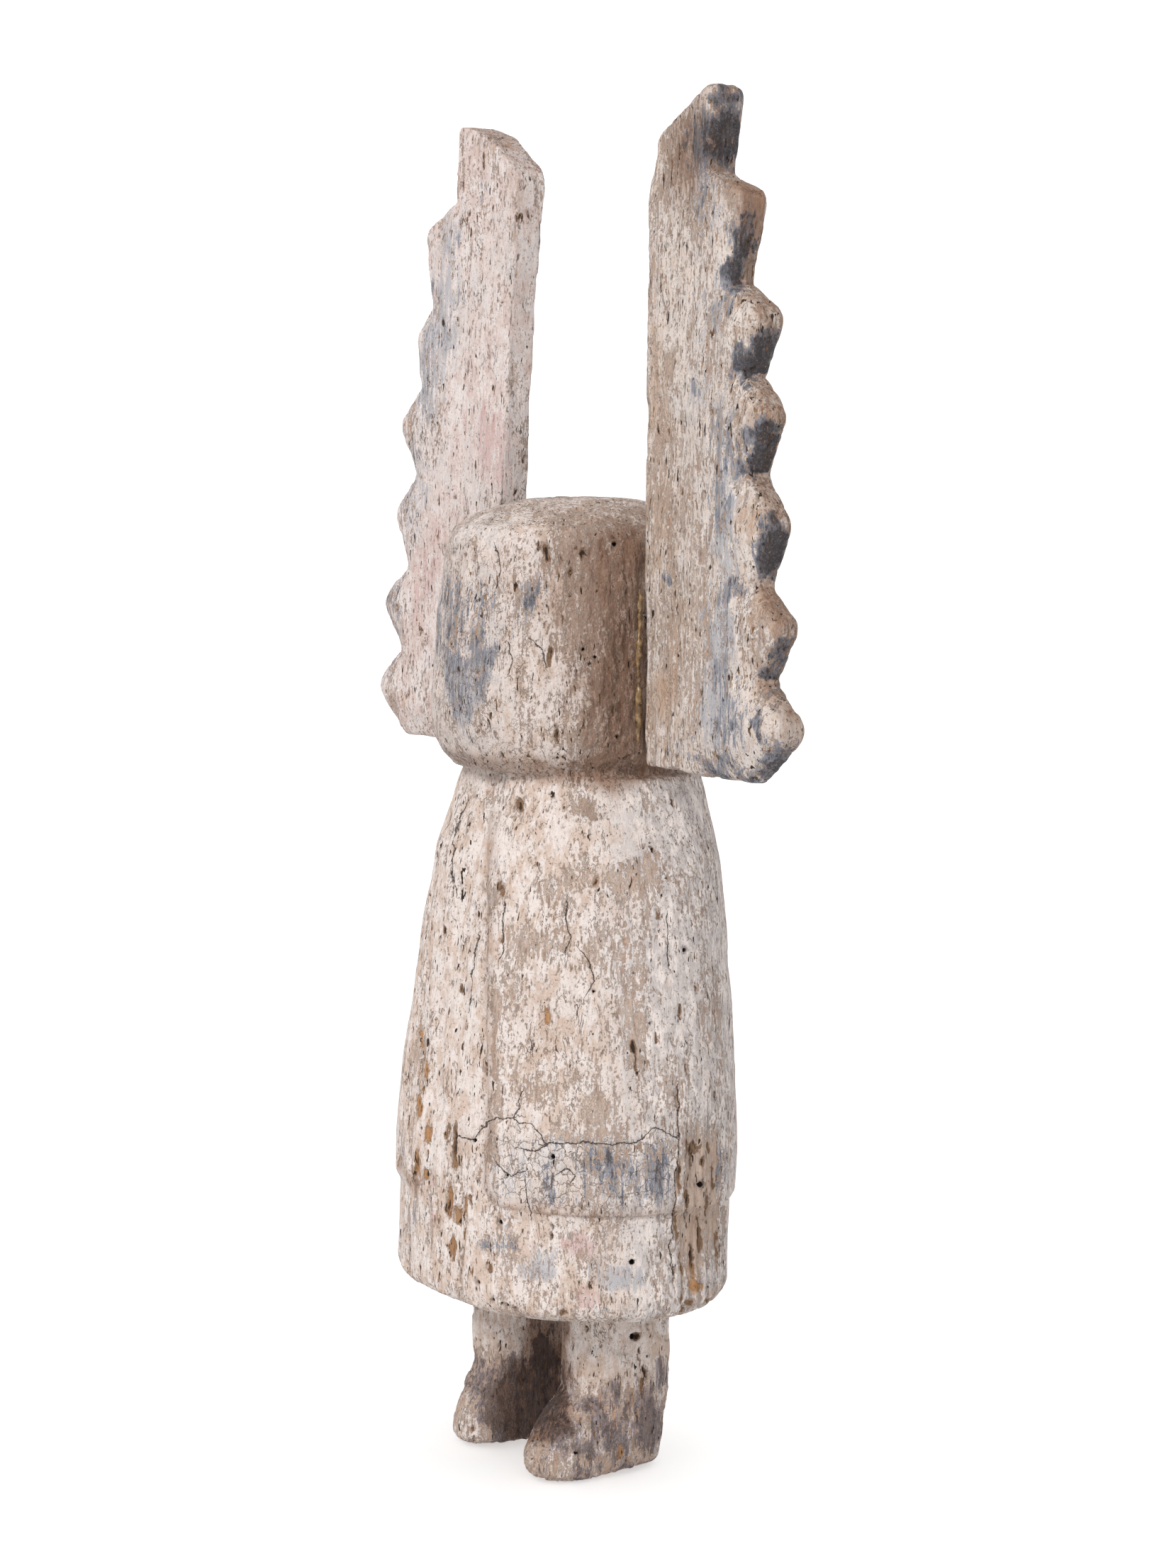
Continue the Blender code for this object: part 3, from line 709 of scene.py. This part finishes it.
def wing_fields(p, n, marks, under_paint, bare_all, open_grain):
    """Relief of a wing, and what its material reads at each point. Marks holds spots by what they show."""
    out = np.abs(p[:, 0])
    uv = pixels(p)
    seen = facing(p, n)
    unseen = 1 - seen
    wander = shifted(uv, p, 7, (141, 143), 30)
    ragged = shifted(wander, p * (1, 1, 0.5), 2.6, (145, 146), (38, 60))
    bare = bare_all + seen * (spots(wander, marks["bare"]) - spots(wander, marks["clean"]))
    chance = 0.34 + 0.3 * (rough(p, 30, 145) - 0.5)
    ground, hollow, relief = wear(p + (200, 0, 0), bare, 0.5, chance)

    # chipped edges, and feather tips that stand a little proud of the solid
    edge = smooth(np.minimum(np.abs(n[:, 0]), np.abs(n[:, 1])), 0.2, 0.5)
    relief += 0.9 * edge * smooth(rough(p * (1, 1, 0.4), 5, 161), 0.45, 0.65)
    relief -= 1.5 * smooth(out, FEATHERS_FROM, 78)

    wall = smooth(np.abs(n[:, 0]), 0.35, 0.8)
    under = smooth(-n[:, 2], 0.15, 0.5) * smooth(out, 70, 84)
    slate = seen * spots(ragged, marks["slate"])
    slate += under * under_paint * (0.45 + 0.55 * smooth(rough(p, 9, 151), 0.35, 0.62))
    slate += 0.38 * unseen * smooth(rough(p, (12, 12, 24), 155), 0.58, 0.70)
    blue = seen * spots(ragged, marks["blue"])
    blue += 0.55 * unseen * smooth(rough(p, (16, 16, 34), 157), 0.54, 0.66)
    rust = 0.10 + seen * spots(ragged, marks["rust"])
    rust += 0.36 * unseen * smooth(rough(p, (16, 16, 40), 159), 0.50, 0.64)
    stain_and_shade = 0.06 + 0.35 * smooth(n[:, 2], 0.3, 0.8) + 0.6 * wall * smooth(out, 70, 84)
    stain_and_shade += seen * spots(wander, marks["stain_and_shade"])
    cool = 1.6 * (rough(p, 24, 149) - 0.35) + seen * spots(wander, marks["blue"])
    return finish_fields(ground, hollow, relief, {
        "slate": slate,
        "blue": blue,
        "rust": rust,
        "boots": np.zeros(len(p)),
        "pink": seen * spots(wander, marks["pink"]),
        "stain_and_shade": stain_and_shade,
        "fresh": np.clip(0.45 + 0.9 * (rough(p, 12, 147) - 0.5), 0, 1),
        "skin": 0.3 * smooth(out, FEATHERS_FROM, 80),
        "cool": np.clip(cool, 0, 1),
        "crackle": np.full(len(p), 0.2),
        "open": np.full(len(p), open_grain),
        "crack": np.full(len(p), 4.0),
        "near_crack": np.zeros(len(p)),
        "hole": np.full(len(p), -1.0),
    })


def left_wing_fields(p, n):
    return wing_fields(p, n, LEFT_WING_MARKS, 0.8, 0.05, 0.55)


def right_wing_fields(p, n):
    return wing_fields(p, n, RIGHT_WING_MARKS, 0.35, -0.04, 0.42)


# Materials. Sizes of noise are in millimetres.


class Sheet:
    """Short calls for the nodes of one material."""

    def __init__(self, name):
        self.material = bpy.data.materials.new(name)
        self.material.use_nodes = True
        self.tree = self.material.node_tree
        self.shader = self.tree.nodes["Principled BSDF"]
        place = self.tree.nodes.new("ShaderNodeTexCoord")
        scale = self.node("ShaderNodeVectorMath", operation="SCALE")
        self.tree.links.new(place.outputs["Object"], scale.inputs[0])
        scale.inputs["Scale"].default_value = 1000
        self.place = scale.outputs[0]

    def node(self, kind, **settings):
        made = self.tree.nodes.new(kind)
        for key, value in settings.items():
            setattr(made, key, value)
        return made

    def put(self, socket, value):
        if isinstance(value, bpy.types.NodeSocket):
            self.tree.links.new(value, socket)
        elif isinstance(value, tuple) and len(value) == 3 and socket.type == "RGBA":
            socket.default_value = (*value, 1)
        else:
            socket.default_value = value

    def math(self, operation, a, b=0.0, c=0.0, clamp=False):
        made = self.node("ShaderNodeMath", operation=operation, use_clamp=clamp)
        for socket, value in zip(made.inputs, (a, b, c)):
            self.put(socket, value)
        return made.outputs[0]

    def stretched(self, x, y, z):
        made = self.node("ShaderNodeVectorMath", operation="MULTIPLY")
        self.put(made.inputs[0], self.place)
        made.inputs[1].default_value = (x, y, z)
        return made.outputs[0]

    def noise(self, where, size, detail=3.0, roughness=0.55, distortion=0.0):
        made = self.node("ShaderNodeTexNoise")
        self.put(made.inputs["Vector"], where)
        made.inputs["Scale"].default_value = 1 / size
        made.inputs["Detail"].default_value = detail
        made.inputs["Roughness"].default_value = roughness
        made.inputs["Distortion"].default_value = distortion
        return made.outputs["Fac"]

    def field(self, name):
        return self.node("ShaderNodeAttribute", attribute_name=name).outputs["Fac"]

    def step(self, value, low, high):
        """0 below low, 1 above high, soft between."""
        made = self.node("ShaderNodeMapRange", interpolation_type="SMOOTHSTEP")
        self.put(made.inputs["Value"], value)
        made.inputs["From Min"].default_value = low
        made.inputs["From Max"].default_value = high
        return made.outputs["Result"]

    def mix(self, share, a, b, blend="MIX"):
        made = self.node("ShaderNodeMix", data_type="RGBA", blend_type=blend)
        self.put(made.inputs["Factor"], share)
        self.put(made.inputs["A"], a)
        self.put(made.inputs["B"], b)
        return made.outputs["Result"]

    def ramp(self, value, *stops):
        made = self.node("ShaderNodeValToRGB")
        self.put(made.inputs["Fac"], value)
        marks = made.color_ramp.elements
        while len(marks) < len(stops):
            marks.new(0.5)
        for mark, (at, colour) in zip(marks, stops):
            mark.position = at
            mark.color = (*colour, 1)
        return made.outputs["Color"]

    def times(self, a, b):
        return self.math("MULTIPLY", a, b)

    def plus(self, a, b):
        return self.math("ADD", a, b)

    def varied(self, value, *sways):
        """A value with noises added to it, each centred on zero and of a given size."""
        for noise_value, size in sways:
            value = self.plus(value, self.times(self.math("SUBTRACT", noise_value, 0.5), size))
        return value

    def weighed(self, *parts):
        """The sum of some values, each times its weight."""
        total = self.times(*parts[0])
        for value, weight in parts[1:]:
            total = self.plus(total, self.times(value, weight))
        return total

    def bump(self, height, strength):
        """Fine relief on the shading alone, for heights of up to a millimetre."""
        made = self.node("ShaderNodeBump")
        made.inputs["Strength"].default_value = strength
        made.inputs["Distance"].default_value = 0.001
        self.put(made.inputs["Height"], height)
        self.put(self.shader.inputs["Normal"], made.outputs["Normal"])


WHITE_GROUND = (0.73, 0.655, 0.62)
CREAM_GROUND = (0.60, 0.475, 0.405)
COOL_GROUND = (0.545, 0.495, 0.48)
GRIMY_GROUND = (0.36, 0.275, 0.22)
WING_WHITE = (0.725, 0.65, 0.60)
WING_CREAM = (0.53, 0.415, 0.345)
PINK_WING_WHITE = (0.73, 0.655, 0.635)
PINK_WING_CREAM = (0.63, 0.51, 0.475)
PALE_WOOD = (0.54, 0.425, 0.355)
TAUPE_WOOD = (0.40, 0.30, 0.25)
DARK_WOOD = (0.16, 0.105, 0.072)
ORANGE_WOOD = (0.46, 0.245, 0.115)
SLATE = (0.235, 0.24, 0.275)
DARK_SLATE = (0.066, 0.067, 0.081)
BLUE_GREY = (0.33, 0.345, 0.39)
PINK = (0.52, 0.32, 0.30)
BOOT_PAINT = (0.26, 0.21, 0.23)
DARK_BOOT_PAINT = (0.055, 0.044, 0.052)
RUST = (0.43, 0.265, 0.165)
# Brown laid over stains and over painted shade
BROWN_STAIN_AND_SHADE = (0.50, 0.40, 0.34)
EARTH = (0.13, 0.082, 0.055)
# Near-black painted shade deep in hollows, slits and cracks
PIT_SHADE = (0.035, 0.022, 0.016)
# Near-black painted shade inside the beetle holes
BORE_SHADE = (0.012, 0.008, 0.006)
DARK_RESIN = (0.05, 0.026, 0.010)
RESIN = (0.14, 0.078, 0.028)
PALE_RESIN = (0.29, 0.19, 0.085)
RESIN_DUST = (0.27, 0.20, 0.145)

THICKENS_OVER = 0.32  # how much of a paint's amount lies between its thin and its thick colour


def lighter(colour, factor):
    return tuple(value * factor for value in colour)


class WeatheredWood(Sheet):
    """Flaked ground and paint over open-grained wood. The grain runs up the piece."""

    def __init__(self, name, wood_share):
        super().__init__(name)
        self.long = self.stretched(1, 1, 0.10)
        self.fine = self.noise(self.stretched(1, 1, 0.34), 1.1, 6, 0.76, 0.2)
        self.streak = self.noise(self.long, 1.5, 4, 0.65)
        self.speck = self.noise(self.place, 1.0, 5, 0.74)
        self.blotch = self.noise(self.place, 10, 4, 0.6)
        self.tint = self.noise(self.stretched(1, 1, 0.5), 3.2, 4, 0.65)
        self.hollow = self.field("hollow")
        self.fresh = self.field("fresh")
        self.cover = self.varied(
            self.field("ground"), (self.fine, 1.7), (self.speck, 1.1), (self.streak, wood_share)
        )
        self.left = self.step(self.cover, *GROUND_EDGE)

    def paint_cracks(self):
        """Crackle round uneven islands, and thin wandering cracks that run with the grain."""
        bend = self.node("ShaderNodeTexNoise")
        self.put(bend.inputs["Vector"], self.place)
        bend.inputs["Scale"].default_value = 0.5
        bend.inputs["Detail"].default_value = 4
        warp = self.node("ShaderNodeVectorMath", operation="MULTIPLY_ADD")
        for socket, value in zip(warp.inputs, (bend.outputs["Color"], (3.2, 3.2, 3.2), self.place)):
            self.put(socket, value)
        cells = self.node("ShaderNodeTexVoronoi", feature="DISTANCE_TO_EDGE")
        self.put(cells.inputs["Vector"], warp.outputs[0])
        cells.inputs["Scale"].default_value = 0.27
        crazed = self.plus(self.varied(self.blotch, (self.speck, 0.5)), self.field("crackle"))
        web = self.step(cells.outputs["Distance"], 0.034, 0.010)
        web = self.times(web, self.step(crazed, 0.95, 1.15))
        contour = self.noise(self.stretched(1, 1, 0.32), 4.6, 4, 0.6, 0.5)
        split = self.step(self.math("ABSOLUTE", self.math("SUBTRACT", contour, 0.5)), 0.014, 0.004)
        split = self.times(split, self.step(self.noise(self.stretched(1, 1, 0.5), 6, 2), 0.52, 0.60))
        return self.times(self.math("MAXIMUM", web, split), self.step(self.cover, 0.45, 0.6))

    def open_grain(self):
        """Short open slits along the grain."""
        gash = self.noise(self.stretched(1, 1, 0.26), 1.15, 2, 0.5, 0.3)
        gash = self.varied(gash, (self.blotch, 0.22))
        return self.step(self.plus(gash, self.times(self.field("open"), 0.11)), 0.715, 0.745)

    def drying_cracks(self):
        """The long cracks, torn along their sides."""
        off = self.math("ABSOLUTE", self.varied(self.field("crack"), (self.speck, 1.6)))
        near = self.step(self.varied(self.field("near_crack"), (self.fine, 0.8)), 0.30, 0.5)
        return self.times(self.step(off, 0.24, 0.10), near)

    def bare_wood(self):
        grain = self.weighed((self.fine, 0.6), (self.streak, 0.4))
        pale = lighter(PALE_WOOD, 1.25)
        wood = self.ramp(grain, (0.34, DARK_WOOD), (0.43, TAUPE_WOOD), (0.52, PALE_WOOD), (0.66, pale))
        orange = self.times(self.step(self.noise(self.long, 3.2, 3), 0.5, 0.64), self.fresh)
        return self.mix(self.times(orange, 0.8), wood, ORANGE_WOOD)

    def old_ground(self, white, cream):
        """The ground coat: yellowed in places, cooler in others, grimy in its pores, thin at its edges."""
        yellowed = self.step(self.varied(self.tint, (self.blotch, 0.8)), 0.42, 0.62)
        ground = self.mix(yellowed, white, cream)
        cool = self.mix(self.step(self.tint, 0.40, 0.64), COOL_GROUND, lighter(white, 1.1))
        ground = self.mix(self.field("cool"), ground, cool)
        ground = self.mix(self.times(self.step(self.fine, 0.50, 0.34), 0.6), ground, GRIMY_GROUND)
        ground = self.mix(self.times(self.step(self.speck, 0.43, 0.33), 0.85), ground, EARTH)
        return self.mix(self.times(self.step(self.cover, 0.66, 0.50), 0.30), ground, PALE_WOOD)

    def paint(self, base, amount, colour, strong, on_wood):
        """Broken paint over a base. Of what lies on bare wood, only a share has held."""
        amount = self.math("MINIMUM", amount, 0.88)
        broken = self.varied(amount, (self.fine, 1.9), (self.streak, 1.7), (self.speck, 1.1))
        holds = self.plus(self.times(self.left, 1 - on_wood), on_wood)
        kept = self.times(self.step(broken, 0.48, 0.62), holds)
        return self.mix(self.times(kept, strong), base, colour)

    def thick_and_thin(self, amount, sways, low, dust, thin, thick):
        """The colour of a paint that is thin in some places, and thick with dust on it in others."""
        sways = zip((self.tint, self.fine, self.streak), sways)
        deep = self.step(self.varied(amount, *sways), low, low + THICKENS_OVER)
        dusty = self.times(self.step(self.speck, 0.48, 0.62), dust)
        return self.mix(deep, thin, self.mix(dusty, thick, thin))

    def painted(self, surface):
        """Every paint and the rust-brown tan, over ground and wood."""
        tan = self.noise(self.stretched(1, 1, 0.35), 5.5, 5, 0.72)
        surface = self.mix(self.times(self.step(tan, 0.50, 0.70), 0.20), surface, RUST)
        surface = self.paint(surface, self.field("rust"), RUST, 0.62, 1.0)
        surface = self.paint(surface, self.field("pink"), PINK, 0.6, 0.5)
        surface = self.paint(surface, self.field("blue"), BLUE_GREY, 0.6, 0.5)
        slate = self.field("slate")
        colour = self.thick_and_thin(slate, (1.2, 1.9, 1.6), 0.70, 0.45, SLATE, DARK_SLATE)
        surface = self.paint(surface, slate, colour, 0.96, 0.9)
        boots = self.field("boots")
        colour = self.thick_and_thin(boots, (1.6, 2.2, 1.4), 0.50, 0.5, BOOT_PAINT, DARK_BOOT_PAINT)
        return self.paint(surface, boots, colour, 0.8, 0.85)

    # Stain and painted shade: the field darkens the colour towards brown
    def stained_and_shaded(self, surface):
        patchy = self.plus(0.55, self.times(self.tint, 0.8))
        stain_and_shade = self.math("MULTIPLY", self.field("stain_and_shade"), patchy, clamp=True)
        return self.mix(stain_and_shade, surface, self.mix(1.0, surface, BROWN_STAIN_AND_SHADE, "MULTIPLY"))

    def hollowed(self, surface, depth, gash):
        """Hollows and slits, which show fresh or dark wood, with painted shade where they are deepest."""
        inner = self.mix(self.fresh, DARK_WOOD, ORANGE_WOOD)
        dark = self.plus(self.varied(self.hollow, (self.streak, 1.2)), self.times(self.fresh, -0.18))
        inner = self.mix(self.step(dark, 0.50, 0.72), inner, PIT_SHADE)
        surface = self.mix(depth, surface, inner)
        orange = self.times(self.fresh, self.step(self.tint, 0.45, 0.6))
        return self.mix(gash, surface, self.mix(orange, PIT_SHADE, ORANGE_WOOD))


def weathered_paint(name, white, cream, wood_share):
    """The look of a carved, painted piece. Wood share is how far the grain breaks up the ground."""
    s = WeatheredWood(name, wood_share)
    line = s.paint_cracks()
    gash = s.open_grain()
    gap = s.drying_cracks()
    depth = s.step(s.varied(s.hollow, (s.fine, 1.5), (s.speck, 0.7)), 0.34, 0.44)

    surface = s.mix(s.left, s.bare_wood(), s.old_ground(white, cream))
    surface = s.stained_and_shaded(s.painted(surface))
    surface = s.mix(s.times(line, 0.75), surface, EARTH)
    surface = s.hollowed(surface, depth, gash)
    # Painted shade in the long cracks
    surface = s.mix(s.times(gap, 0.9), surface, PIT_SHADE)
    # Painted shade inside the beetle holes
    surface = s.mix(s.step(s.field("hole"), 0.0, 0.25), surface, BORE_SHADE)
    s.put(s.shader.inputs["Base Color"], surface)

    knobs = s.times(s.noise(s.stretched(1, 1, 0.7), 1.7, 3, 0.6), s.field("skin"))
    height = s.weighed(
        (knobs, 1.5), (s.left, 0.26), (s.fine, 0.75), (s.speck, 0.6), (s.streak, 0.45),
        (line, -0.25), (depth, -0.5), (gash, -0.6), (gap, -0.5),
    )
    s.bump(height, 1.0)
    s.put(s.shader.inputs["Roughness"], s.plus(0.78, s.times(s.speck, 0.2)))
    s.shader.inputs["Specular IOR Level"].default_value = 0.25
    return s.material


def amber_glue():
    """Old resin: dark honey where it is thick, cloudy and dusty in patches."""
    s = Sheet("amber_glue")
    cloud = s.noise(s.place, 2.2, 3)
    dust = s.step(s.noise(s.place, 0.9, 4, 0.65), 0.52, 0.68)
    colour = s.ramp(cloud, (0.35, DARK_RESIN), (0.5, RESIN), (0.72, PALE_RESIN))
    colour = s.mix(s.times(dust, 0.6), colour, RESIN_DUST)
    s.put(s.shader.inputs["Base Color"], colour)
    s.put(s.shader.inputs["Roughness"], s.plus(0.22, s.times(dust, 0.45)))
    s.shader.inputs["Subsurface Weight"].default_value = 0.15
    s.shader.inputs["Subsurface Radius"].default_value = (0.002, 0.001, 0.0005)
    s.bump(s.times(cloud, 0.6), 0.5)
    return s.material


# Pieces, floor, light and camera


def dress(node, name, slot, look, cell, rounds, fields, budget):
    """A carved and painted piece in place of a CAD node."""
    piece = fine_copy(node, name, cell, rounds)
    if slot == "wing_wood":
        round_feathers(piece.data)
    carve(piece, fields, budget)
    piece.data.materials.clear()
    piece.data.materials.append(look)
    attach(piece, "root")
    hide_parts(node)


def glue(node, name, look):
    """The bead with lumps and gaps along it, as squeezed-out glue sets."""
    piece = fine_copy(node, name, GLUE_CELL, 2)
    mesh = piece.data
    p, n = points_and_normals(mesh)
    sunk = 0.05 + 0.75 * smooth(rough(p, (6, 6, 5), 211), 0.4, 0.66)
    move_points(mesh, p - n * sunk[:, None])
    mesh.shade_smooth()
    mesh.materials.clear()
    mesh.materials.append(look)
    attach(piece, "root")
    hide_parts(node)


def pale_floor():
    """A plain floor whose top is level with the soles."""
    mesh = bpy.data.meshes.new("floor")
    corners = [(x * FLOOR_HALF, y * FLOOR_HALF, 0) for x, y in ((-1, -1), (1, -1), (1, 1), (-1, 1))]
    mesh.from_pydata(corners, [], [(0, 1, 2, 3)])
    obj = bpy.data.objects.new("floor", mesh)
    bpy.context.scene.collection.objects.link(obj)
    s = Sheet("pale_floor")
    shade = s.ramp(s.noise(s.place, 900, 2), (0.3, (0.89, 0.89, 0.89)), (0.7, (0.92, 0.92, 0.92)))
    s.put(s.shader.inputs["Base Color"], shade)
    s.shader.inputs["Roughness"].default_value = 0.9
    s.shader.inputs["Specular IOR Level"].default_value = 0.0
    s.shader.inputs["Emission Color"].default_value = (1, 1, 1, 1)
    s.shader.inputs["Emission Strength"].default_value = FLOOR_GLOW
    mesh.materials.append(s.material)
    return obj


def sun(name, towards, strength, angle, floor):
    """A soft distant light that shines from a direction on everything but the floor."""
    light = bpy.data.lights.new(name, "SUN")
    light.energy = strength
    light.angle = math.radians(angle)
    light.color = SUN_COLOUR
    obj = bpy.data.objects.new(name, light)
    obj.rotation_euler = Vector(towards).to_track_quat("Z", "Y").to_euler()
    bpy.context.scene.collection.objects.link(obj)
    lit = bpy.data.collections.new(f"{name} light")
    lit.objects.link(floor)
    lit.collection_objects[0].light_linking.link_state = "EXCLUDE"
    obj.light_linking.receiver_collection = lit


def surroundings():
    """White all round: bright where the camera sees past the floor, softer as light on the figure."""
    world = bpy.data.worlds.new("studio")
    bpy.context.scene.world = world
    world.use_nodes = True
    tree = world.node_tree
    back = tree.nodes["Background"]
    path = tree.nodes.new("ShaderNodeLightPath")
    strength = tree.nodes.new("ShaderNodeMapRange")
    tree.links.new(path.outputs["Is Camera Ray"], strength.inputs["Value"])
    strength.inputs["To Min"].default_value = WORLD_ON_FIGURE
    strength.inputs["To Max"].default_value = WORLD_IN_VIEW
    tree.links.new(strength.outputs["Result"], back.inputs["Strength"])
    back.inputs["Color"].default_value = (1, 1, 1, 1)


def camera():
    """The view of the pixel positions above, upright on its sensor."""
    data = bpy.data.cameras.new("camera")
    data.sensor_width = SENSOR
    data.lens = FOCAL_PX * SENSOR / HEIGHT_PX
    data.clip_start = 0.05
    data.clip_end = 50
    obj = bpy.data.objects.new("camera", data)
    turn = Matrix((RIGHT, UP, -FORWARD)).transposed().to_4x4()
    obj.matrix_world = Matrix.Translation(Vector(EYE / 1000)) @ turn
    bpy.context.scene.collection.objects.link(obj)
    bpy.context.scene.camera = obj


def main():
    bpy.context.scene.view_settings.view_transform = "Standard"
    camera()
    surroundings()
    floor = pale_floor()
    sun("key", (0.32, -0.80, 0.72), 2.45, 22, floor)
    sun("fill", (0.9, -0.3, 0.15), 0.35, 60, floor)
    body_paint = weathered_paint("painted_wood", WHITE_GROUND, CREAM_GROUND, 0.25)
    near_paint = weathered_paint("wing_wood", WING_WHITE, WING_CREAM, 0.6)
    far_paint = weathered_paint("pink_wing_wood", PINK_WING_WHITE, PINK_WING_CREAM, 0.5)
    cell, wing_cell = ((CELL, WING_CELL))
    dress("figure", "carved_figure", "painted_wood", body_paint, cell, 3, figure_fields, FIGURE_TRIANGLES)
    dress(
        "left_wing", "feathered_left_wing", "wing_wood", near_paint, wing_cell, 8,
        left_wing_fields, WING_TRIANGLES,
    )
    dress(
        "right_wing", "feathered_right_wing", "wing_wood", far_paint, wing_cell, 8,
        right_wing_fields, WING_TRIANGLES,
    )
    resin = amber_glue()
    glue("left_glue_bead", "left_resin_bead", resin)
    glue("right_glue_bead", "right_resin_bead", resin)


main()
